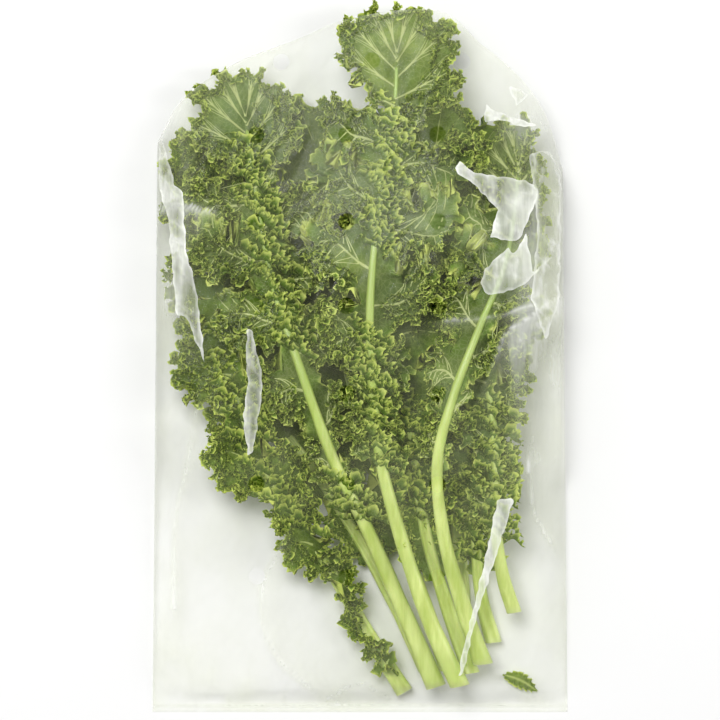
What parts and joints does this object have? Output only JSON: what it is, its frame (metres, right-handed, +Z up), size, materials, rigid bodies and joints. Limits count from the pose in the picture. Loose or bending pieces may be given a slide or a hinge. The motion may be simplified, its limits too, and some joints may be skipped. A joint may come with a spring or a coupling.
{
  "type": "kale bunch",
  "caption": "Bunch of curly kale leaves with pale stems, lying in a clear perforated produce bag that is open at the leaf tips.",
  "frame": {"origin": "under the middle of the bag, on the surface that it lies on", "axes": "+Y from the cut stems to the leaf tips, +Z up from the surface, +X to the right seen from above with the tips up"},
  "size_m": [0.252, 0.4274, 0.0647],
  "materials": {
    "leaf_upper": "satin",
    "leaf_under": "matte",
    "stalk": "satin",
    "film": "gloss"
  },
  "bodies": {
    "root": {"bag": "film", "leaf_scrap": "leaf_upper", "blade_a": "leaf_under", "blade_b": "leaf_under", "blade_c": "leaf_under", "blade_d": "leaf_upper", "blade_e": "leaf_upper", "blade_f": "leaf_under", "blade_g": "leaf_upper", "blade_h": "leaf_upper", "blade_i": "leaf_upper", "blade_j": "leaf_upper", "stem_a": "stalk", "stem_b": "stalk", "stem_c": "stalk", "stem_d": "stalk", "stem_e": "stalk", "stem_f": "stalk", "stem_g": "stalk", "stem_h": "stalk", "stem_i": "stalk", "stem_j": "stalk"}
  },
  "joints": []
}
